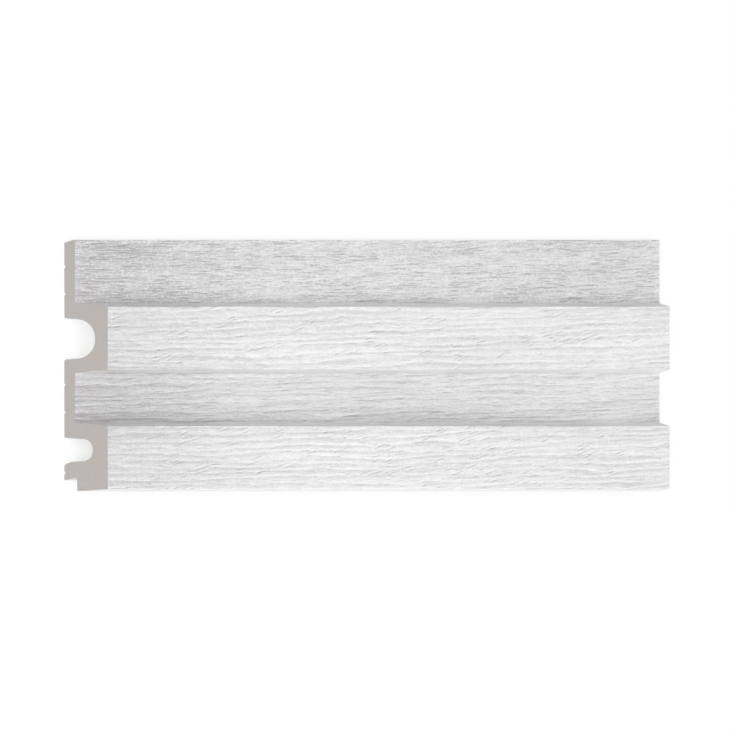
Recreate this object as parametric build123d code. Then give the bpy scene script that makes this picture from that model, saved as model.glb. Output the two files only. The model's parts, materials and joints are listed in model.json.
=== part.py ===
from build123d import *
from math import cos, radians, sin, tan
import os

# Slatted wall panel: one extruded length of rigid foam, mitred at one end and cut square at the other.
# The section lies in the YZ plane and runs along X. The panel lies on its back, so Z = 0 is the face that
# is glued to the wall and +Z is the way the slats look into the room. +Y is the tongue, which goes under
# the lip of the next panel, and "upper" below means towards it. The origin is the middle of the back.
# Lengths are in millimetres and angles in degrees.

# The whole panel
PANEL_LENGTH = 303.0  # along the back, from the long point of the mitre to the square end
PANEL_THICKNESS = 21.0
COVER_PITCH = 116.0  # from one laid panel to the next
LAP = 6.0  # the part of the tongue that the next panel's lip covers
MITRE_ANGLE = 36.0  # of the left end, from a square cut

# The slats
SLATS_PER_PANEL = 2
SLAT_FACE = 30.7  # front of one slat, across, before its edges are rounded
WALL_DRAFT = 6.0  # lean of a slat's sides
LIP_DRAFT = 3.5  # lean of the lip's free side
SLAT_EDGE_RADIUS = 0.3
SLAT_ROOT_RADIUS = 0.6

# The plate between the slats, its tongue and the lap joint
PLATE_THICKNESS = 5.2
TONGUE_CHAMFER_RISE = 4.2
TONGUE_CHAMFER_RUN = 1.4
LAP_HEADROOM = 1.0  # between a tongue and the lip over it
LAP_GAP = 0.15  # between a tongue's tip and the foot beside it
FOOT_SLOPE = 15.0  # lean of the foot's side
FOOT_TIP_RADIUS = 0.6

# The channels in the back, one behind each slat: a narrow one behind the lip's slat, else a wide one
CHANNEL_SIDE_WALL = 7.35  # from a slat's upper root to the mouth of its channel
CHANNEL_DRAFT = 4.0
CROWN_FLAT = 1.2  # of a channel's crown, between its two round corners
WIDE_CHANNEL_MOUTH = 20.0
WIDE_CHANNEL_DEPTH = 14.8
NARROW_CHANNEL_MOUTH = 12.0
NARROW_CHANNEL_DEPTH = 13.7
NARROW_RAMP_RISE = 3.4  # the narrow channel's lower side runs out in a ramp
NARROW_RAMP_RUN = 1.1
MOUTH_UPPER_RADIUS = 0.5
MOUTH_LOWER_RADIUS = 1.2

# The glue keys: V-grooves along the flats of the back
KEY_WIDTH = 1.6
KEY_DEPTH = 0.7
KEY_SPACING = 13.3
KEYS_PER_FLAT = 2
KEYS_PER_FOOT = 1

# Worked out from the sizes above
PANEL_WIDTH = COVER_PITCH + LAP
SLAT_PITCH = COVER_PITCH / SLATS_PER_PANEL
SLAT_SPREAD = (PANEL_THICKNESS - PLATE_THICKNESS) * tan(radians(WALL_DRAFT))  # root past front, each side
REBATE_HEIGHT = PLATE_THICKNESS + LAP_HEADROOM

TONGUE_TIP = PANEL_WIDTH / 2
TONGUE_BACK = TONGUE_TIP - TONGUE_CHAMFER_RUN
LIP_TIP = -PANEL_WIDTH / 2
LIP_FRONT = LIP_TIP + (PANEL_THICKNESS - REBATE_HEIGHT) * tan(radians(LIP_DRAFT))
SLAT_UPPER_FRONTS = [LIP_FRONT + SLAT_FACE + SLAT_PITCH * i for i in reversed(range(SLATS_PER_PANEL))]

NEXT_TONGUE_TIP = TONGUE_TIP - COVER_PITCH
FOOT_SIDE = NEXT_TONGUE_TIP + LAP_GAP  # level with the upper edge of the tongue's chamfer
FOOT_BACK = FOOT_SIDE - TONGUE_CHAMFER_RISE * tan(radians(FOOT_SLOPE))
FOOT_TOP = FOOT_SIDE + (REBATE_HEIGHT - TONGUE_CHAMFER_RISE) * tan(radians(FOOT_SLOPE))


def channel_places():
    """Upper mouth edge, mouth, depth and ramp of each channel, from the tongue down."""
    places = []
    for upper_front in SLAT_UPPER_FRONTS:
        upper = upper_front + SLAT_SPREAD - CHANNEL_SIDE_WALL
        if upper_front == SLAT_UPPER_FRONTS[-1]:
            sizes = (NARROW_CHANNEL_MOUTH, NARROW_CHANNEL_DEPTH, NARROW_RAMP_RUN)
        else:
            sizes = (WIDE_CHANNEL_MOUTH, WIDE_CHANNEL_DEPTH, 0)
        places.append((upper, *sizes))
    return places


def front_points():
    """Corners of the panel's front from the tongue's chamfer round to the foot, as (Y, Z)."""
    points = [(TONGUE_BACK, 0), (TONGUE_TIP, TONGUE_CHAMFER_RISE), (TONGUE_TIP, PLATE_THICKNESS)]
    for upper_front in SLAT_UPPER_FRONTS:
        lower_front = upper_front - SLAT_FACE
        points.append((upper_front + SLAT_SPREAD, PLATE_THICKNESS))
        points.append((upper_front, PANEL_THICKNESS))
        points.append((lower_front, PANEL_THICKNESS))
        points.append((lower_front - SLAT_SPREAD, PLATE_THICKNESS))
    points[-1] = (LIP_TIP, REBATE_HEIGHT)  # the last slat ends in the lip
    return points + [(FOOT_TOP, REBATE_HEIGHT), (FOOT_BACK, 0)]


def round_corner(shape, corner, radius):
    """The section with the corner at that place rounded."""
    return fillet(shape.vertices().sort_by_distance(corner)[0], radius)


def channel(upper, lower, depth, ramp_run):
    """Section of one channel: drafted walls, a crown with round corners and any ramp at its lower side."""
    draft = tan(radians(CHANNEL_DRAFT))
    crown_upper = upper - depth * draft
    crown_lower = lower + depth * draft
    crown_radius = (crown_upper - crown_lower - CROWN_FLAT) / 2 * tan(radians(90 + CHANNEL_DRAFT) / 2)
    corners = [(upper, 0), (crown_upper, depth), (crown_lower, depth), (lower, 0)]
    shape = make_face(Polyline(*corners, close=True))
    for across in (crown_upper, crown_lower):
        shape = round_corner(shape, (across, depth), crown_radius)
    if ramp_run:
        ramp_top = (lower + NARROW_RAMP_RISE * draft, NARROW_RAMP_RISE)
        shape += make_face(Polyline((lower, 0), ramp_top, (lower - ramp_run, 0), close=True))
    return shape


def glue_keys(upper, lower, count):
    """V-grooves spaced about the middle of one flat of the back."""
    edge = KEY_WIDTH / 2
    groove = make_face(Polyline((-edge, 0), (0, KEY_DEPTH), (edge, 0), close=True))
    first = (upper + lower) / 2 - KEY_SPACING * (count - 1) / 2
    return [Pos(first + KEY_SPACING * i, 0) * groove for i in range(count)]


def section():
    """The extruded section, drawn with the panel's Y across and its Z up."""
    shape = make_face(Polyline(*front_points(), close=True))

    flat_upper = TONGUE_BACK
    for upper, mouth, depth, ramp_run in channel_places():
        lower = upper - mouth
        shape -= channel(upper, lower, depth, ramp_run)
        shape -= glue_keys(flat_upper, upper, KEYS_PER_FLAT)
        flat_upper = lower - ramp_run
        shape = round_corner(shape, (upper, 0), MOUTH_UPPER_RADIUS)
        shape = round_corner(shape, (flat_upper, 0), MOUTH_LOWER_RADIUS)
    shape -= glue_keys(flat_upper, FOOT_BACK, KEYS_PER_FOOT)
    shape = round_corner(shape, (FOOT_BACK, 0), FOOT_TIP_RADIUS)

    for across, height in front_points():
        if height == PANEL_THICKNESS:
            shape = round_corner(shape, (across, height), SLAT_EDGE_RADIUS)
        if height == PLATE_THICKNESS and across != TONGUE_TIP:
            shape = round_corner(shape, (across, height), SLAT_ROOT_RADIUS)
    return shape


def wall_panel():
    """The section run out to the panel's length, then mitred so that the front is the shorter."""
    square = extrude(Plane.YZ * section(), PANEL_LENGTH / 2, both=True)
    outward = (-cos(radians(MITRE_ANGLE)), 0, sin(radians(MITRE_ANGLE)))
    mitre = Plane(origin=(-PANEL_LENGTH / 2, 0, 0), z_dir=outward)
    return split(square, bisect_by=mitre, keep=Keep.BOTTOM)


os.makedirs("parts", exist_ok=True)
export_step(wall_panel(), "parts/wall_panel.step")
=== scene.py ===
import json
import math

import bmesh
import bpy
from bpy.props import FloatProperty, FloatVectorProperty, IntProperty, PointerProperty
from bpy.types import Operator, Panel, PropertyGroup
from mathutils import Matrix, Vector


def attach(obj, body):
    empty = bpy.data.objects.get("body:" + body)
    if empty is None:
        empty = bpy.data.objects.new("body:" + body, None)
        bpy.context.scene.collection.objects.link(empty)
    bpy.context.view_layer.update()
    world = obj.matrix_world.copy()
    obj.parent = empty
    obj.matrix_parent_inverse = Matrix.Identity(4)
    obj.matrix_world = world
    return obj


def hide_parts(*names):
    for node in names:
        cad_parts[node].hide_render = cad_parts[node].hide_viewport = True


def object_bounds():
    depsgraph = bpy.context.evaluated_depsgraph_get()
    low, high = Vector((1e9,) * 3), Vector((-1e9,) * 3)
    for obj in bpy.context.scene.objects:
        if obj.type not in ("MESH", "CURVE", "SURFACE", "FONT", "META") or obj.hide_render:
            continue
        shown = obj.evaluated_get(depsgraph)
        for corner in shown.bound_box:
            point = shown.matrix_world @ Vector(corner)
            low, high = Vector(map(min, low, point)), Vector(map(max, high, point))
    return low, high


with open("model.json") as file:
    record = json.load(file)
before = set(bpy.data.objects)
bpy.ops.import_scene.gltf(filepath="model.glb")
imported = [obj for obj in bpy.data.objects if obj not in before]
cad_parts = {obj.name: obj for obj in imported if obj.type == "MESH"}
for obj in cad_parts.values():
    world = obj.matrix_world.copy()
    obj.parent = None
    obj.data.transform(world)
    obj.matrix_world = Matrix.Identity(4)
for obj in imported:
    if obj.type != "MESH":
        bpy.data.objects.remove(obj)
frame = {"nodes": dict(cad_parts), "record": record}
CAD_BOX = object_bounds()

bl_info = {
    "name": "Slatted Wall Panel",
    "version": (1, 0, 0),
    "blender": (4, 5, 0),
    "location": "View3D > Sidebar > Wall Panel",
    "description": "Sweeps, embosses and finishes a slatted foam wall panel and sets up its studio",
    "category": "Object",
}

NODE = "wall_panel"
PIECE = "embossed_panel"
BODY = "root"
MM = 0.001

PANEL_LENGTH = CAD_BOX[1][0] - CAD_BOX[0][0]
MITRE_AXIS = next(m["axis"] for m in frame["record"]["mounts"] if m["name"] == "mitred_end")
MITRE_ANGLE = math.atan2(MITRE_AXIS[2], -MITRE_AXIS[0])
PLANE_TOLERANCE = 0.01 * MM


class PanelMesh(PropertyGroup):
    """How finely the panel is swept."""

    length: FloatProperty(
        name="Length", description="Along the back, from the long point of the mitre to the square end",
        default=PANEL_LENGTH, unit="LENGTH")
    mitre: FloatProperty(
        name="Mitre", description="Angle of the left end from a square cut", default=MITRE_ANGLE,
        subtype="ANGLE")
    face_step: FloatProperty(
        name="Face step", description="Widest spacing of points round the embossed face", default=0.55 * MM,
        unit="LENGTH")
    back_step: FloatProperty(
        name="Back step", description="Widest spacing of points round the plain back", default=4.0 * MM,
        unit="LENGTH")
    stations: IntProperty(
        name="Stations", description="Rings of points along the length", default=210, min=2)
    corner_gap: FloatProperty(
        name="Corner gap", description="Corners of the section nearer than this are merged",
        default=0.25 * MM, unit="LENGTH")
    crease_angle: FloatProperty(
        name="Crease angle", description="Edges that turn more than this stay sharp",
        default=math.radians(45), subtype="ANGLE")


class GrainSizes(PropertyGroup):
    """The wood grain that is printed on the face and pressed into it, and the light and shade painted into
    the print.
    """

    seed: IntProperty(name="Seed", description="Which stretch of the pattern is used", default=7)
    relief_depth: FloatProperty(
        name="Relief depth", description="Height of the pressed grain, from its lows to its highs",
        default=0.32 * MM, unit="LENGTH")
    fine_depth: FloatProperty(
        name="Fine depth", description="Height of the finest fibres and nicks", default=0.12 * MM,
        unit="LENGTH")
    ring_spacing: FloatProperty(
        name="Ring spacing", description="Usual distance between the long growth lines", default=3.15 * MM,
        unit="LENGTH")
    dash_length: FloatProperty(
        name="Dash length", description="Usual length of the short dark dashes", default=8 * MM,
        unit="LENGTH")
    dash_width: FloatProperty(
        name="Dash width", description="Usual width of the short dark dashes", default=0.85 * MM,
        unit="LENGTH")
    drift: FloatProperty(
        name="Drift", description="Rise of the grain lines per unit of length at the square end",
        default=0.05)
    wander: FloatProperty(
        name="Wander", description="How far the grain lines swing to either side", default=2.8 * MM,
        unit="LENGTH")
    base_shade: FloatProperty(
        name="Base shade", description="Depth of the print between the grain lines, from 0 to 1",
        default=0.175)
    # Painted light and shade: the print on the slats' sides is made lighter at their feet and darker towards
    # their fronts
    side_painted_shade: FloatProperty(
        name="Side shade", description="How much the print on the slats' sides deepens towards the front",
        default=0.3)
    # Painted shade: the print is made darker in the recess at the foot of the lower slat, where the slat's
    # shade falls
    foot_painted_shade: FloatProperty(
        name="Foot shade", description="How much deeper the print is at the foot of the lower slat",
        default=0.20)
    foot_places: FloatVectorProperty(
        name="Foot places", description="Where the feet of the slats' upper sides lie across the panel",
        size=2, default=(30.3 * MM, -27.7 * MM), unit="LENGTH")
    coarse_start: FloatProperty(
        name="Coarse start",
        description="Distance round the face from the tongue where coarse grain gives way",
        default=31 * MM, unit="LENGTH")
    coarse_end: FloatProperty(
        name="Coarse end",
        description="Distance round the face from the tongue where only long grain is left",
        default=46 * MM, unit="LENGTH")
    # Painted shade: the next two settings darken the print towards the mitred end over a length, standing in
    # for light that falls off there
    end_painted_shade: FloatProperty(
        name="End shade", description="How much deeper the print is at the mitred end", default=0.25)
    end_fade: FloatProperty(
        name="End fade", description="Length over which the deeper print fades out", default=115 * MM,
        unit="LENGTH")


class PanelColours(PropertyGroup):
    """Colours of the three finishes."""

    face_light: FloatVectorProperty(
        name="Face, light", description="Bleached wood between the grain lines", subtype="COLOR",
        default=(0.97, 0.97, 0.97))
    face_dark: FloatVectorProperty(
        name="Face, dark", description="Grain lines and pores", subtype="COLOR", default=(0.44, 0.44, 0.44))
    face_blush: FloatVectorProperty(
        name="Face, blush", description="Grain lines between the slats near the mitred end", subtype="COLOR",
        default=(0.458, 0.433, 0.446))
    foam: FloatVectorProperty(
        name="Cut foam", description="Sawn ends", subtype="COLOR", default=(0.481, 0.451, 0.429))
    skin: FloatVectorProperty(
        name="Extruded skin", description="Back and channels", subtype="COLOR", default=(0.60, 0.57, 0.54))


class StageSettings(PropertyGroup):
    """Camera, lamps and even light."""

    yaw: FloatProperty(
        name="Yaw", description="Turn of the camera towards the mitred end, from straight above",
        default=math.radians(18.5), subtype="ANGLE")
    frame_width: FloatProperty(
        name="Frame width", description="Width that the picture shows", default=355.5 * MM, unit="LENGTH")
    shift_right: FloatProperty(
        name="Shift right", description="The panel's middle lies this far right of the picture's middle",
        default=0.5 * MM, unit="LENGTH")
    shift_up: FloatProperty(
        name="Shift up", description="The panel's middle lies this far above the picture's middle",
        default=0.25 * MM, unit="LENGTH")
    key_power: FloatProperty(
        name="Key power", description="Soft lamp nearly overhead", default=3.5, subtype="POWER", unit="POWER")
    rake_power: FloatProperty(
        name="Rake power", description="Low lamp on the lip's side", default=11.0, subtype="POWER",
        unit="POWER")
    fill_power: FloatProperty(
        name="Fill power", description="Soft lamp at the mitred end", default=3.8, subtype="POWER",
        unit="POWER")
    sky_strength: FloatProperty(name="Sky strength", description="Even light from above", default=0.52)
    bounce_strength: FloatProperty(
        name="Bounce strength", description="Even light from the floor", default=0.7)


# Node helpers

def add_node(tree, kind, inputs=None, **settings):
    """Adds one node, sets its properties, then links or fills its inputs by name or index."""
    node = tree.nodes.new(kind)
    for name, value in settings.items():
        setattr(node, name, value)
    for key, value in (inputs or {}).items():
        if isinstance(value, bpy.types.NodeSocket):
            tree.links.new(value, node.inputs[key])
        else:
            node.inputs[key].default_value = value
    return node


def calc(tree, operation, first, second=0.0, third=0.0):
    """One Math node, as its output."""
    return add_node(tree, "ShaderNodeMath", {0: first, 1: second, 2: third}, operation=operation).outputs[0]


def ramp(tree, value, low, high, to_low=0.0, to_high=1.0):
    """A smooth step from one value to another, as its output."""
    inputs = {"Value": value, "From Min": low, "From Max": high, "To Min": to_low, "To Max": to_high}
    return add_node(tree, "ShaderNodeMapRange", inputs, interpolation_type="SMOOTHSTEP").outputs[0]


def stretched_noise(tree, along, across, length, width, seed, detail=1.0):
    """Noise whose features are about that long and wide, from 0 to 1, as its output."""
    place = add_node(tree, "ShaderNodeCombineXYZ", {
        0: calc(tree, "DIVIDE", along, length),
        1: calc(tree, "DIVIDE", across, width),
        2: seed,
    }).outputs[0]
    inputs = {"Vector": place, "Scale": 1.0, "Detail": detail, "Roughness": 0.5}
    return add_node(tree, "ShaderNodeTexNoise", inputs, noise_dimensions="3D").outputs[0]


def add_group_inputs(tree, sockets):
    """Declares float inputs and gives the group's input node, as its outputs."""
    for name in sockets:
        tree.interface.new_socket(name=name, in_out="INPUT", socket_type="NodeSocketFloat")
    return tree.nodes.new("NodeGroupInput").outputs


def add_group_outputs(tree, sockets):
    """Declares float outputs and links them."""
    for name in sockets:
        tree.interface.new_socket(name=name, in_out="OUTPUT", socket_type="NodeSocketFloat")
    add_node(tree, "NodeGroupOutput", sockets)


# Wood grain, the same pattern for the pressed relief and for the print

GRAIN_INPUTS = ("Along", "Girth", "Seed", "Ring spacing", "Dash length", "Dash width", "Bend", "Wander",
                "Coarse start", "Coarse end")

# Usual length and width of each layer's features, the layer's place in the noise and its detail
GRAIN_LAYERS = {
    "ring drift": (100 * MM, 14 * MM, 3.1, 1.0),
    "ring sway": (30 * MM, 5 * MM, 11.7, 1.0),
    "ring waver": (7 * MM, 4 * MM, 13.9, 1.0),
    "ring strength": (32 * MM, 3 * MM, 17.3, 1.0),
    "fibres": (5 * MM, 0.75 * MM, 29.3, 1.0),
    "specks": (1.2 * MM, 0.6 * MM, 37.3, 0.0),
    "streaks": (22 * MM, 1.7 * MM, 43.7, 2.0),
    "tone": (110 * MM, 13 * MM, 51.9, 1.0),
    "mottle": (16 * MM, 4.5 * MM, 59.3, 2.0),
    "bands": (25 * MM, 5 * MM, 71.3, 1.0),
    "lines": (50 * MM, 0.9 * MM, 77.7, 1.0),
    "fleck places": (12 * MM, 6 * MM, 83.3, 1.0),
}
SWING_SIZE = (70 * MM, 30 * MM)
DASH_PLACE = 23.9
FLECK_PLACE = 67.1
FLECK_SIZE = (7 * MM, 0.9 * MM)
FLECK_SLANT = math.radians(17)
# The lit sides are painted highlights in the print, beside each dash and fleck
LIT_SHIFT = 0.5 * MM  # from a pressed mark to its lit side


def wood_grain_group(tree_type):
    """Node group of the grain, for shaders or for geometry.

    Along is measured down the panel from its mitred end and Girth round its face from the tongue."""
    tree = bpy.data.node_groups.new("wood_grain_" + tree_type, tree_type)
    given = add_group_inputs(tree, GRAIN_INPUTS)
    along, girth, seed = given["Along"], given["Girth"], given["Seed"]

    coarse = ramp(tree, girth, given["Coarse start"], given["Coarse end"], 1.0, 0.0)
    smooth = calc(tree, "SUBTRACT", 1.0, coarse)
    bent = calc(tree, "MULTIPLY_ADD", calc(tree, "MULTIPLY", along, along), given["Bend"], girth)
    swing = stretched_noise(tree, along, girth, *SWING_SIZE, seed)
    wander = calc(tree, "MULTIPLY", given["Wander"], calc(tree, "MULTIPLY_ADD", smooth, 0.8, 0.2))
    across = calc(tree, "MULTIPLY_ADD", swing, wander, bent)

    def noise(length, width, offset, detail=1.0, shift=0.0):
        """One layer of stretched noise, from 0 to 1."""
        beside = calc(tree, "ADD", across, shift) if shift else across
        return stretched_noise(tree, along, beside, length, width, calc(tree, "ADD", seed, offset), detail)

    def layer(name):
        """One of the listed layers, from 0 to 1."""
        return noise(*GRAIN_LAYERS[name])

    def centred(name):
        """One of the listed layers, about zero."""
        return calc(tree, "SUBTRACT", layer(name), 0.5)

    # Growth lines: a lit edge, a crisp step to dark, then a slow fade; the lit edge is a painted highlight in
    # the print and a raised edge in the bump
    phase = calc(tree, "DIVIDE", across, given["Ring spacing"])
    phase = calc(tree, "MULTIPLY_ADD", layer("ring drift"), 2.4, phase)
    phase = calc(tree, "MULTIPLY_ADD", layer("ring sway"), 1.1, phase)
    phase = calc(tree, "MULTIPLY_ADD", layer("ring waver"), 0.35, phase)
    share = calc(tree, "SUBTRACT", 1.0, calc(tree, "FRACT", phase))
    late_wood = calc(tree, "SUBTRACT", ramp(tree, share, 0.35, 0.92), ramp(tree, share, 0.95, 1.0))
    lit_edge = calc(tree, "SUBTRACT", ramp(tree, share, 0.0, 0.05), ramp(tree, share, 0.10, 0.30))
    strength = ramp(tree, layer("ring strength"), 0.40, 0.60, 0.40, 1.1)
    rings = calc(tree, "MULTIPLY", calc(tree, "MULTIPLY_ADD", lit_edge, -0.5, late_wood), strength)
    valley = calc(tree, "COSINE", calc(tree, "MULTIPLY_ADD", share, math.tau, -0.85 * math.tau))

    fibres = centred("fibres")
    specks = centred("specks")
    streaks = centred("streaks")
    tone = centred("tone")
    bands = centred("bands")
    lines = centred("lines")
    mottle = centred("mottle")
    crowding = calc(tree, "MULTIPLY", coarse, calc(tree, "MULTIPLY_ADD", mottle, 0.5, 0.03))

    def dashes_at(shift):
        """Short crisp dashes, which crowd together in places where the grain is coarse."""
        marks = noise(given["Dash length"], given["Dash width"], DASH_PLACE, 1.0, shift)
        return ramp(tree, calc(tree, "ADD", marks, crowding), 0.58, 0.68)

    dashes = dashes_at(0.0)
    # Painted highlight on the lit side of each dash
    lit_dashes = calc(tree, "SUBTRACT", dashes_at(LIT_SHIFT), dashes)

    # Flecks are short nicks that rise across the grain
    run, rise = math.cos(FLECK_SLANT), math.sin(FLECK_SLANT)
    fleck_places = calc(tree, "MULTIPLY", ramp(tree, layer("fleck places"), 0.54, 0.64), smooth)

    def flecks_at(shift):
        """Nicks in their scattered places."""
        beside = calc(tree, "ADD", across, shift)
        rising = calc(tree, "SUBTRACT", calc(tree, "MULTIPLY", along, run),
                      calc(tree, "MULTIPLY", beside, rise))
        square_to_it = calc(tree, "ADD", calc(tree, "MULTIPLY", along, rise),
                            calc(tree, "MULTIPLY", beside, run))
        place = calc(tree, "ADD", seed, FLECK_PLACE)
        marks = stretched_noise(tree, rising, square_to_it, *FLECK_SIZE, place, 0.0)
        return calc(tree, "MULTIPLY", ramp(tree, marks, 0.62, 0.68), fleck_places)

    flecks = flecks_at(0.0)
    # Painted highlight on the lit side of each fleck
    lit_flecks = calc(tree, "SUBTRACT", flecks_at(LIT_SHIFT), flecks)

    relief = calc(tree, "MULTIPLY", valley, strength)
    relief = calc(tree, "MULTIPLY", relief, calc(tree, "MULTIPLY_ADD", smooth, -0.2, -0.1))
    relief = calc(tree, "MULTIPLY_ADD", fibres, 0.5, relief)
    relief = calc(tree, "MULTIPLY_ADD", dashes, calc(tree, "MULTIPLY_ADD", coarse, -0.15, -0.1), relief)
    fine = calc(tree, "MULTIPLY_ADD", specks, 0.5, calc(tree, "MULTIPLY", rings, -0.5))
    fine = calc(tree, "MULTIPLY_ADD", dashes, -0.5, fine)
    fine = calc(tree, "MULTIPLY_ADD", flecks, -1.6, fine)
    add_group_outputs(tree, {
        "Relief": relief, "Fine": fine, "Rings": rings, "Dashes": dashes, "Lit dashes": lit_dashes,
        "Fibres": fibres, "Specks": specks, "Streaks": streaks, "Lit flecks": lit_flecks, "Tone": tone,
        "Bands": bands, "Lines": lines, "Mottle": mottle, "Coarse": coarse,
    })
    return tree


def place_grain(tree, group, kind, along, girth, sizes):
    """Puts the grain group in a tree with the user's sizes, as its outputs."""
    inputs = {
        "Along": calc(tree, "ADD", along, PANEL_LENGTH / 2), "Girth": girth, "Seed": float(sizes.seed),
        "Ring spacing": sizes.ring_spacing, "Dash length": sizes.dash_length, "Dash width": sizes.dash_width,
        "Bend": sizes.drift / (2 * PANEL_LENGTH), "Wander": sizes.wander,
        "Coarse start": sizes.coarse_start, "Coarse end": sizes.coarse_end,
    }
    return add_node(tree, kind, inputs, node_tree=group).outputs


# Materials

# Where the print and its painted light and shade change, as heights above the back and widths across the
# panel
RECESS_HEIGHT = 5 * MM
SLAT_HEIGHT = 18 * MM
SIDE_HEIGHTS = (9 * MM, 20.5 * MM)
# Painted light below zero at the sides' feet, painted shade above zero at their fronts
SIDE_PAINTED_SHADES = (-0.65, 0.45)  # shares of the side shade at those two heights
LIP_WIDTHS = (1.5 * MM, 3 * MM)
FOOT_WIDTH = 11 * MM
FOOT_EDGE = 2 * MM

def new_material(name):
    """A material with a bare tree and its Principled shader."""
    material = bpy.data.materials.new(name)
    material.use_nodes = True
    tree = material.node_tree
    tree.nodes.clear()
    shader = tree.nodes.new("ShaderNodeBsdfPrincipled")
    add_node(tree, "ShaderNodeOutputMaterial", {"Surface": shader.outputs[0]})
    return material, tree, shader


def mix_colours(tree, factor, first, second):
    """A Mix node between two colours, as its output."""
    node = add_node(tree, "ShaderNodeMix", {0: factor, 6: first, 7: second}, data_type="RGBA")
    return node.outputs[2]


def opaque(colour):
    """A colour property as a socket's four values."""
    return (*colour, 1.0)


def shaded_colour(tree, colour, shade):
    """A colour made lighter or darker by a factor, as its output."""
    return add_node(tree, "ShaderNodeVectorMath", {0: tuple(colour), 3: shade}, operation="SCALE").outputs[0]


def add_bump(tree, shader, height, distance):
    """Feeds a height to the shader's normal."""
    bump = add_node(tree, "ShaderNodeBump", {"Height": height, "Distance": distance, "Strength": 1.0})
    tree.links.new(bump.outputs[0], shader.inputs["Normal"])


def wood_grain_material(sizes, colours):
    """Matt white foil, printed with grain that lines up with the pressed relief, and with painted light and
    shade: darker towards the mitred end, in the recesses and at the slats' feet, lighter at the sides' feet
    and on the lip's side, darker at the sides' fronts, with painted highlights beside the marks.
    """
    material, tree, shader = new_material("white_wood_grain")
    place = add_node(tree, "ShaderNodeTexCoord").outputs["Object"]
    along, across, height = add_node(tree, "ShaderNodeSeparateXYZ", {0: place}).outputs
    girth = add_node(tree, "ShaderNodeAttribute", attribute_name="girth").outputs["Fac"]
    rise = add_node(tree, "ShaderNodeAttribute", attribute_name="rise").outputs["Fac"]
    grain = place_grain(tree, wood_grain_group("ShaderNodeTree"), "ShaderNodeGroup", along, girth, sizes)

    # Painted shade: near_end darkens the print towards the mitred end, more in the recesses
    end = -PANEL_LENGTH / 2
    near_end = ramp(tree, along, end, end + sizes.end_fade, 1.0, 0.0)
    between = ramp(tree, height, RECESS_HEIGHT, SLAT_HEIGHT, 1.0, 0.0)
    side = ramp(tree, calc(tree, "ABSOLUTE", rise), 0.5, 0.95)
    side_bands = calc(tree, "MULTIPLY", side, grain["Bands"])
    # Mask of the lip's free side, which is painted lighter as painted light
    lip_start, lip_end = (CAD_BOX[0][1] + width for width in LIP_WIDTHS)
    lip_side = calc(tree, "MULTIPLY", side, ramp(tree, across, lip_start, lip_end, 1.0, 0.0))
    # Painted light and shade on the slats' sides, lighter at their feet and darker towards their fronts; the
    # lip's free side is left out
    side = calc(tree, "MULTIPLY", calc(tree, "SUBTRACT", side, lip_side),
                ramp(tree, height, *SIDE_HEIGHTS, *SIDE_PAINTED_SHADES))
    # Masks of the recesses at the feet of the slats' upper sides, for painted shade there and for extra grain
    # lines
    feet = []
    for foot_place in sizes.foot_places:
        foot = ramp(tree, across, foot_place, foot_place + FOOT_WIDTH, 1.0, 0.0)
        edge = ramp(tree, across, foot_place - FOOT_EDGE, foot_place)
        feet.append(calc(tree, "MULTIPLY", foot, edge))
    upper_foot, lower_foot = feet
    foot_lines = calc(tree, "MULTIPLY", calc(tree, "ADD", upper_foot, lower_foot), grain["Lines"])
    white_specks = ramp(tree, grain["Specks"], 0.14, 0.28)
    darkness = calc(tree, "MULTIPLY_ADD", near_end, sizes.end_painted_shade, sizes.base_shade)
    # Each layer's weight everywhere, what the recesses add to it and what the coarse grain adds
    for layer, everywhere, in_recesses, where_coarse in (
        # Painted shade: the recesses, the coarse-grained upper one most, are printed darker where the slats
        # shade them
        (1.0, 0.005, 0.055, 0.025),
        # Painted shade near the mitred end, deeper in the recesses
        (near_end, 0.0, 0.07, -0.02),
        # Painted light and shade on the slats' sides
        (side, sizes.side_painted_shade, 0.0, 0.0),
        (side_bands, 0.7, 0.0, 0.0),
        # Painted light on the lip's free side
        (lip_side, -0.25, 0.0, 0.0),
        # Painted shade at the feet of the slats
        (upper_foot, 0.0, 0.04, 0.0),
        (lower_foot, 0.0, sizes.foot_painted_shade, 0.0),
        (foot_lines, 0.0, 0.45, 0.0),
        (grain["Lines"], 0.10, 0.30, -0.35),
        (grain["Rings"], 0.19, 0.03, -0.13),
        (grain["Dashes"], 0.10, 0.05, 0.05),
        # Painted highlights beside the dashes and flecks
        (grain["Lit dashes"], -0.08, -0.10, 0.0),
        (grain["Lit flecks"], -0.30, 0.20, 0.0),
        (grain["Fibres"], -0.40, -0.03, -0.20),
        (grain["Specks"], -0.40, 0.0, -0.14),
        (white_specks, 0.0, 0.0, -0.25),
        (grain["Streaks"], 0.0, 0.0, 0.50),
        (grain["Tone"], 0.32, 0.0, 0.0),
        (grain["Mottle"], 0.0, 0.0, 0.30),
    ):
        weight = calc(tree, "MULTIPLY_ADD", between, in_recesses, everywhere)
        weight = calc(tree, "MULTIPLY_ADD", grain["Coarse"], where_coarse, weight)
        darkness = calc(tree, "MULTIPLY_ADD", layer, weight, darkness)
    blushing = calc(tree, "MULTIPLY", calc(tree, "POWER", near_end, 3.0), between)
    dark = mix_colours(tree, blushing, opaque(colours.face_dark), opaque(colours.face_blush))
    colour = mix_colours(tree, darkness, opaque(colours.face_light), dark)
    tree.links.new(colour, shader.inputs["Base Color"])

    roughness = calc(tree, "MULTIPLY_ADD", grain["Specks"], -0.25, 0.62)
    tree.links.new(roughness, shader.inputs["Roughness"])
    shader.inputs["Specular IOR Level"].default_value = 0.3
    add_bump(tree, shader, grain["Fine"], sizes.fine_depth)
    return material


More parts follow.
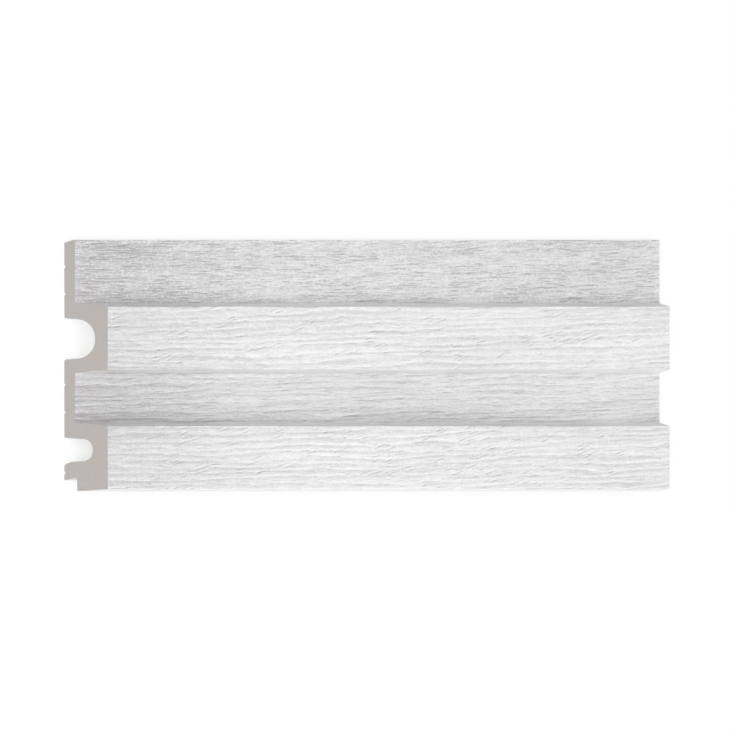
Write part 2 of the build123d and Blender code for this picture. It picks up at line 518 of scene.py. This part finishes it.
def cut_foam_material(colours):
    """Sawn foam: fine closed cells and faint marks of the blade."""
    cell, patch, mark_width, mark_length = 0.42 * MM, 9 * MM, 1.4 * MM, 60 * MM
    material, tree, shader = new_material("cut_foam")
    place = add_node(tree, "ShaderNodeTexCoord").outputs["Object"]
    cells = add_node(tree, "ShaderNodeTexVoronoi", {"Vector": place, "Scale": 1 / cell}).outputs["Distance"]
    patches = add_node(tree, "ShaderNodeTexNoise", {"Vector": place, "Scale": 1 / patch}).outputs[0]
    blade_place = add_node(tree, "ShaderNodeMapping", {
        "Vector": place, "Scale": (1 / mark_width, 1 / mark_length, 1 / mark_width),
    }).outputs[0]
    blade = add_node(tree, "ShaderNodeTexNoise",
                     {"Vector": blade_place, "Scale": 1.0, "Detail": 2.0}).outputs[0]

    shade = calc(tree, "MULTIPLY_ADD", cells, 0.10, 0.955)
    shade = calc(tree, "MULTIPLY_ADD", calc(tree, "SUBTRACT", patches, 0.5), 0.06, shade)
    shade = calc(tree, "MULTIPLY_ADD", calc(tree, "SUBTRACT", blade, 0.5), 0.05, shade)
    tree.links.new(shaded_colour(tree, colours.foam, shade), shader.inputs["Base Color"])

    tree.links.new(calc(tree, "MULTIPLY_ADD", cells, -0.1, 0.85), shader.inputs["Roughness"])
    shader.inputs["Specular IOR Level"].default_value = 0.2
    add_bump(tree, shader, calc(tree, "MULTIPLY_ADD", blade, 0.5, cells), 0.05 * MM)
    return material


def extruded_skin_material(colours):
    """The back as it leaves the die: a smoother skin with fine lines along the panel."""
    pit, patch, line_width, line_length = 0.9 * MM, 18 * MM, 0.7 * MM, 180 * MM
    material, tree, shader = new_material("extruded_skin")
    place = add_node(tree, "ShaderNodeTexCoord").outputs["Object"]
    line_place = add_node(tree, "ShaderNodeMapping", {
        "Vector": place, "Scale": (1 / line_length, 1 / line_width, 1 / line_width),
    }).outputs[0]
    die_lines = add_node(tree, "ShaderNodeTexNoise",
                         {"Vector": line_place, "Scale": 1.0, "Detail": 3.0}).outputs[0]
    patches = add_node(tree, "ShaderNodeTexNoise",
                       {"Vector": place, "Scale": 1 / patch, "Detail": 3.0}).outputs[0]
    pits = add_node(tree, "ShaderNodeTexVoronoi", {"Vector": place, "Scale": 1 / pit}).outputs["Distance"]

    shade = calc(tree, "MULTIPLY_ADD", calc(tree, "SUBTRACT", die_lines, 0.5), 0.14, 1.0)
    shade = calc(tree, "MULTIPLY_ADD", calc(tree, "SUBTRACT", patches, 0.5), 0.10, shade)
    tree.links.new(shaded_colour(tree, colours.skin, shade), shader.inputs["Base Color"])

    tree.links.new(calc(tree, "MULTIPLY_ADD", patches, 0.25, 0.40), shader.inputs["Roughness"])
    shader.inputs["Specular IOR Level"].default_value = 0.35
    add_bump(tree, shader, calc(tree, "MULTIPLY_ADD", pits, 0.15, die_lines), 0.08 * MM)
    return material


# The panel

def section_corners():
    """Outline of the square end, from the tongue's tip over the face to the lip and round the back."""
    mesh = bmesh.new()
    mesh.from_mesh(frame["nodes"][NODE].data)
    bmesh.ops.remove_doubles(mesh, verts=mesh.verts, dist=PLANE_TOLERANCE)
    end = CAD_BOX[1][0] - PLANE_TOLERANCE

    def on_end(face):
        return all(vert.co.x > end for vert in face.verts)

    rim = [edge for edge in mesh.edges if sum(on_end(face) for face in edge.link_faces) == 1]
    neighbours = {}
    for edge in rim:
        for vert in edge.verts:
            neighbours.setdefault(vert, []).append(edge.other_vert(vert))
    tips = [vert for vert in neighbours if vert.co.y > CAD_BOX[1][1] - PLANE_TOLERANCE]
    first = min(tips, key=lambda vert: vert.co.z)
    loop = [first, max(neighbours[first], key=lambda vert: vert.co.z)]
    while loop[-1] is not first:
        loop.append(next(vert for vert in neighbours[loop[-1]] if vert is not loop[-2]))
    corners = [Vector((0, vert.co.y, vert.co.z)) for vert in loop[:-1]]
    mesh.free()
    return corners


def section_mesh(settings):
    """The section as a closed line of points, with how far each lies round the face."""
    corners = []
    for corner in section_corners():
        if not corners or (corner - corners[-1]).length > settings.corner_gap:
            corners.append(corner)
    lip_tip = min(range(len(corners)), key=lambda i: (corners[i].y, corners[i].z))
    foot_tip = next(i for i in range(lip_tip, len(corners)) if corners[i].z < PLANE_TOLERANCE)
    points, on_face, on_foil, rises = [], [], [], []
    for i, corner in enumerate(corners):
        run = corners[(i + 1) % len(corners)] - corner
        step = settings.face_step if i < lip_tip else settings.back_step
        parts = max(1, math.ceil(run.length / step))
        points += [corner + run * (k / parts) for k in range(parts)]
        on_face += [float(i < lip_tip)] * parts
        on_foil += [float(i <= foot_tip)] * parts
        rises += [run.z / run.length] * parts

    girths = [0.0]
    for before, after in zip(points, points[1:]):
        girths.append(girths[-1] + (after - before).length)

    mesh = bpy.data.meshes.new("panel_section")
    mesh.from_pydata(points, [(i, (i + 1) % len(points)) for i in range(len(points))], [])
    mesh.attributes.new("girth", "FLOAT", "POINT").data.foreach_set("value", girths)
    mesh.attributes.new("on_face", "FLOAT", "POINT").data.foreach_set("value", on_face)
    mesh.attributes.new("on_foil", "FLOAT", "POINT").data.foreach_set("value", on_foil)
    mesh.attributes.new("rise", "FLOAT", "POINT").data.foreach_set("value", rises)
    section = mesh.attributes.new("section", "FLOAT_VECTOR", "POINT")
    section.data.foreach_set("vector", [value for point in points for value in point])
    return mesh


def named_field(tree, name, data_type="FLOAT"):
    """A stored attribute, as its output."""
    return add_node(tree, "GeometryNodeInputNamedAttribute", {"Name": name}, data_type=data_type).outputs[0]


def panel_tree(sizes):
    """Geometry nodes that sweep the section, press the grain into its face and cut the mitre."""
    tree = bpy.data.node_groups.new("embossed_panel_sweep", "GeometryNodeTree")
    tree.interface.new_socket(name="Geometry", in_out="OUTPUT", socket_type="NodeSocketGeometry")
    for name, kind in (
        ("Section", "Geometry"), ("Length", "Float"), ("Mitre", "Float"), ("Stations", "Int"),
        ("Relief depth", "Float"), ("Crease angle", "Float"),
        ("Face", "Material"), ("Cut ends", "Material"), ("Back", "Material"),
    ):
        tree.interface.new_socket(name=name, in_out="INPUT", socket_type="NodeSocket" + kind)
    given = tree.nodes.new("NodeGroupInput").outputs

    path = add_node(tree, "GeometryNodeCurvePrimitiveLine", {"End": (1, 0, 0)}).outputs[0]
    path = add_node(tree, "GeometryNodeResampleCurve", {"Curve": path, "Count": given["Stations"]}).outputs[0]
    fraction = tree.nodes.new("GeometryNodeSplineParameter").outputs["Factor"]
    path = add_node(tree, "GeometryNodeStoreNamedAttribute",
                    {"Geometry": path, "Name": "station", "Value": fraction}, data_type="FLOAT").outputs[0]
    profile = add_node(tree, "GeometryNodeMeshToCurve", {"Mesh": given["Section"]}).outputs[0]
    swept = add_node(tree, "GeometryNodeCurveToMesh",
                     {"Curve": path, "Profile Curve": profile, "Fill Caps": True}).outputs[0]

    station = named_field(tree, "station")
    section = named_field(tree, "section", "FLOAT_VECTOR")
    section = add_node(tree, "ShaderNodeSeparateXYZ", {0: section}).outputs
    half = calc(tree, "DIVIDE", given["Length"], 2.0)
    square_x = calc(tree, "SUBTRACT", calc(tree, "MULTIPLY", station, given["Length"]), half)
    straight = add_node(tree, "ShaderNodeCombineXYZ", {0: square_x, 1: section[1], 2: section[2]}).outputs[0]
    swept = add_node(tree, "GeometryNodeSetPosition", {"Geometry": swept, "Position": straight}).outputs[0]

    def lean_at(height):
        """How far the mitre pushes a point at that height towards the square end."""
        lean = calc(tree, "MULTIPLY", height, calc(tree, "TANGENT", given["Mitre"]))
        return calc(tree, "MULTIPLY", lean, calc(tree, "SUBTRACT", 1.0, station))

    grain = place_grain(tree, wood_grain_group("GeometryNodeTree"), "GeometryNodeGroup",
                        calc(tree, "ADD", square_x, lean_at(section[2])), named_field(tree, "girth"), sizes)
    height = calc(tree, "MULTIPLY", grain["Relief"], given["Relief depth"])
    height = calc(tree, "MULTIPLY", height, named_field(tree, "on_face"))
    normal = tree.nodes.new("GeometryNodeInputNormal").outputs[0]
    steep = calc(tree, "ABSOLUTE", named_field(tree, "rise"))
    height = calc(tree, "MULTIPLY", height, ramp(tree, steep, 0.1, 0.8, 1.0, 0.0))
    press = add_node(tree, "ShaderNodeVectorMath", {0: normal, 3: height}, operation="SCALE").outputs[0]
    press = add_node(tree, "ShaderNodeVectorMath", {0: press, 1: (0, 1, 1)}, operation="MULTIPLY").outputs[0]
    pressed = add_node(tree, "GeometryNodeSetPosition", {"Geometry": swept, "Offset": press}).outputs[0]

    place = tree.nodes.new("GeometryNodeInputPosition").outputs[0]
    pressed_height = add_node(tree, "ShaderNodeSeparateXYZ", {0: place}).outputs[2]
    shear = add_node(tree, "ShaderNodeCombineXYZ", {0: lean_at(pressed_height)}).outputs[0]
    cut = add_node(tree, "GeometryNodeSetPosition", {"Geometry": pressed, "Offset": shear}).outputs[0]

    turn = tree.nodes.new("GeometryNodeInputMeshEdgeAngle").outputs["Unsigned Angle"]
    gentle = add_node(tree, "FunctionNodeCompare", {"A": turn, "B": given["Crease angle"]},
                      operation="LESS_THAN")
    shaded = add_node(tree, "GeometryNodeSetShadeSmooth", {"Geometry": cut, "Shade Smooth": True}).outputs[0]
    shaded = add_node(tree, "GeometryNodeSetShadeSmooth",
                      {"Geometry": shaded, "Shade Smooth": gentle.outputs[0]}, domain="EDGE").outputs[0]

    corner_count = tree.nodes.new("GeometryNodeCornersOfFace").outputs["Total"]
    is_end = add_node(tree, "FunctionNodeCompare", {2: corner_count, 3: 4}, data_type="INT",
                      operation="GREATER_THAN").outputs[0]
    is_foil = add_node(tree, "FunctionNodeCompare", {"A": named_field(tree, "on_foil"), "B": 0.99},
                       operation="GREATER_THAN").outputs[0]
    realized = add_node(tree, "GeometryNodeRealizeInstances", {"Geometry": shaded}).outputs[0]
    for name in ("station", "section"):
        realized = add_node(tree, "GeometryNodeRemoveAttribute",
                            {"Geometry": realized, "Name": name}).outputs[0]
    dressed = add_node(tree, "GeometryNodeSetMaterial",
                       {"Geometry": realized, "Material": given["Back"]}).outputs[0]
    dressed = add_node(tree, "GeometryNodeSetMaterial",
                       {"Geometry": dressed, "Selection": is_foil, "Material": given["Face"]}).outputs[0]
    dressed = add_node(tree, "GeometryNodeSetMaterial",
                       {"Geometry": dressed, "Selection": is_end, "Material": given["Cut ends"]}).outputs[0]
    add_node(tree, "NodeGroupOutput", {"Geometry": dressed})
    return tree


def set_modifier_inputs(modifier, values):
    """Sets a modifier's inputs, named here, by their sockets' identifiers."""
    for item in modifier.node_group.interface.items_tree:
        if item.in_out == "INPUT" and item.name in values:
            modifier[item.identifier] = values[item.name]


def plain_mesh(piece):
    """Turns a piece with modifiers into a plain mesh with its faces outwards."""
    evaluated = piece.evaluated_get(bpy.context.evaluated_depsgraph_get())
    mesh = bpy.data.meshes.new_from_object(evaluated)
    piece.modifiers.clear()
    piece.data = mesh
    shape = bmesh.new()
    shape.from_mesh(mesh)
    if shape.calc_volume(signed=True) < 0:
        bmesh.ops.reverse_faces(shape, faces=shape.faces)
    shape.to_mesh(mesh)
    shape.free()


class OBJECT_OT_embossed_panel(Operator):
    """Sweep the panel, press its grain and finish its face, ends and back"""

    bl_idname = "object.embossed_panel"
    bl_label = "Build Wall Panel"

    def execute(self, context):
        settings = context.scene.panel_mesh
        sizes = context.scene.panel_grain
        colours = context.scene.panel_colours
        piece = bpy.data.objects.new(PIECE, section_mesh(settings))
        context.scene.collection.objects.link(piece)
        modifier = piece.modifiers.new("sweep", "NODES")
        modifier.node_group = panel_tree(sizes)
        set_modifier_inputs(modifier, {
            "Length": settings.length, "Mitre": settings.mitre, "Stations": settings.stations,
            "Relief depth": sizes.relief_depth, "Crease angle": settings.crease_angle,
            "Face": wood_grain_material(sizes, colours), "Cut ends": cut_foam_material(colours),
            "Back": extruded_skin_material(colours),
        })
        plain_mesh(piece)
        piece.data.name = PIECE
        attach(piece, BODY)
        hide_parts(NODE)
        return {"FINISHED"}


# The stage

# Place and width of each lamp, and the camera's distance, in metres
KEY_LAMP = ((0.12, -0.10, 1.15), 0.5)
RAKE_LAMP = ((0.17, -2.0, 0.733), 0.58)
FILL_LAMP = ((-1.05, -0.15, 0.43), 0.5)
CAMERA_DISTANCE = 0.9


def background_mask(tree):
    """1 for rays that see the background straight, mirrored or through something, as its output."""
    path = tree.nodes.new("ShaderNodeLightPath").outputs
    seen = calc(tree, "MAXIMUM", path["Is Camera Ray"], path["Is Glossy Ray"])
    return calc(tree, "MAXIMUM", seen, path["Is Transmission Ray"])


def add_floor():
    """A white floor that keeps the panel's real shadow, dims its glow near the panel as painted shade, and
    can be looked through from below.
    """
    half = 3.0
    level = -0.2 * MM
    shadow_grey = 0.12
    shadow_reach = 20 * MM
    open_share = 0.42  # of the view around a point, from which its glow is full
    shut_glow, open_glow = 0.58, 0.90
    corners = [(-half, -half, level), (half, -half, level), (half, half, level), (-half, half, level)]
    mesh = bpy.data.meshes.new("floor")
    mesh.from_pydata(corners, [], [(0, 1, 2, 3)])
    material = bpy.data.materials.new("white_floor")
    material.use_nodes = True
    tree = material.node_tree
    tree.nodes.clear()
    shadowed = add_node(tree, "ShaderNodeBsdfDiffuse", {"Color": opaque([shadow_grey] * 3)})
    nearby = add_node(tree, "ShaderNodeAmbientOcclusion", {"Distance": shadow_reach}, samples=4)
    # Painted shade: the glow dims where the panel closes in on the floor, under its edges and inside its
    # channels
    strength = ramp(tree, nearby.outputs["AO"], 0.0, open_share, shut_glow, open_glow)
    glow = add_node(tree, "ShaderNodeEmission", {"Strength": strength})
    white = add_node(tree, "ShaderNodeAddShader", {0: shadowed.outputs[0], 1: glow.outputs[0]})
    below = tree.nodes.new("ShaderNodeNewGeometry").outputs["Backfacing"]
    clear = tree.nodes.new("ShaderNodeBsdfTransparent")
    one_sided = add_node(tree, "ShaderNodeMixShader", {0: below, 1: white.outputs[0], 2: clear.outputs[0]})
    add_node(tree, "ShaderNodeOutputMaterial", {"Surface": one_sided.outputs[0]})
    mesh.materials.append(material)

    floor = bpy.data.objects.new("floor", mesh)
    bpy.context.scene.collection.objects.link(floor)
    floor.visible_diffuse = False
    floor.visible_shadow = False


def set_world(stage):
    """Even light from the sky and the floor, in front of a white background."""
    world = bpy.data.worlds.new("studio")
    bpy.context.scene.world = world
    world.use_nodes = True
    tree = world.node_tree
    tree.nodes.clear()
    direction = add_node(tree, "ShaderNodeSeparateXYZ",
                         {0: tree.nodes.new("ShaderNodeTexCoord").outputs["Generated"]}).outputs[2]
    strength = ramp(tree, direction, -0.05, 0.05, stage.bounce_strength, stage.sky_strength)
    light = add_node(tree, "ShaderNodeBackground", {"Color": (1, 1, 1, 1), "Strength": strength})
    white = add_node(tree, "ShaderNodeBackground", {"Color": (1, 1, 1, 1), "Strength": 1.0})
    seen = add_node(tree, "ShaderNodeMixShader",
                    {0: background_mask(tree), 1: light.outputs[0], 2: white.outputs[0]})
    add_node(tree, "ShaderNodeOutputWorld", {"Surface": seen.outputs[0]})


def add_lamp(name, place, size, power):
    """A square soft lamp pointed at the panel's middle."""
    lamp = bpy.data.lights.new(name, "AREA")
    lamp.size = size
    lamp.energy = power
    holder = bpy.data.objects.new(name, lamp)
    holder.location = place
    holder.rotation_euler = (-Vector(place)).to_track_quat("-Z", "Y").to_euler()
    bpy.context.scene.collection.objects.link(holder)


def add_camera(stage):
    """A level-framed camera without perspective, above the panel and turned to its mitred end."""
    low, high = CAD_BOX
    right = Vector((math.cos(stage.yaw), 0, math.sin(stage.yaw)))
    back = Vector((-math.sin(stage.yaw), 0, math.cos(stage.yaw)))
    left_edge = right.dot(Vector((low[0], 0, low[2])))
    right_edge = right.dot(Vector((high[0], 0, high[2])))
    aim = right * ((left_edge + right_edge) / 2 - stage.shift_right) + Vector((0, -stage.shift_up, 0))
    data = bpy.data.cameras.new("camera")
    data.type = "ORTHO"
    data.ortho_scale = stage.frame_width
    camera = bpy.data.objects.new("camera", data)
    camera.location = aim + back * CAMERA_DISTANCE
    camera.rotation_euler = (0, -stage.yaw, 0)
    bpy.context.scene.collection.objects.link(camera)
    bpy.context.scene.camera = camera


class SCENE_OT_panel_stage(Operator):
    """Set the floor, the lamps, the background and the camera"""

    bl_idname = "scene.panel_stage"
    bl_label = "Build Panel Stage"

    def execute(self, context):
        stage = context.scene.panel_stage
        context.scene.view_settings.view_transform = "Standard"
        add_floor()
        set_world(stage)
        add_lamp("key", *KEY_LAMP, stage.key_power)
        add_lamp("rake", *RAKE_LAMP, stage.rake_power)
        add_lamp("fill", *FILL_LAMP, stage.fill_power)
        add_camera(stage)
        return {"FINISHED"}


class VIEW3D_PT_wall_panel(Panel):
    """The wall panel's settings and build buttons"""

    bl_idname = "VIEW3D_PT_wall_panel"
    bl_label = "Slatted Wall Panel"
    bl_space_type = "VIEW_3D"
    bl_region_type = "UI"
    bl_category = "Wall Panel"

    def draw(self, context):
        for group in (context.scene.panel_mesh, context.scene.panel_grain, context.scene.panel_colours,
                      context.scene.panel_stage):
            box = self.layout.box()
            for name in group.__annotations__:
                box.prop(group, name)
        self.layout.operator(OBJECT_OT_embossed_panel.bl_idname)
        self.layout.operator(SCENE_OT_panel_stage.bl_idname)


CLASSES = (PanelMesh, GrainSizes, PanelColours, StageSettings, OBJECT_OT_embossed_panel, SCENE_OT_panel_stage,
           VIEW3D_PT_wall_panel)
SETTINGS = {"panel_mesh": PanelMesh, "panel_grain": GrainSizes, "panel_colours": PanelColours,
            "panel_stage": StageSettings}


def register():
    """Registers the classes and hangs the settings on the scene."""
    for cls in CLASSES:
        bpy.utils.register_class(cls)
    for name, cls in SETTINGS.items():
        setattr(bpy.types.Scene, name, PointerProperty(type=cls))


def unregister():
    """Takes the settings and the classes away again."""
    for name in SETTINGS:
        delattr(bpy.types.Scene, name)
    for cls in reversed(CLASSES):
        bpy.utils.unregister_class(cls)


def main():
    """Builds the panel and its stage."""
    register()
    bpy.ops.object.embossed_panel()
    bpy.ops.scene.panel_stage()


if __name__ == "__main__":
    main()
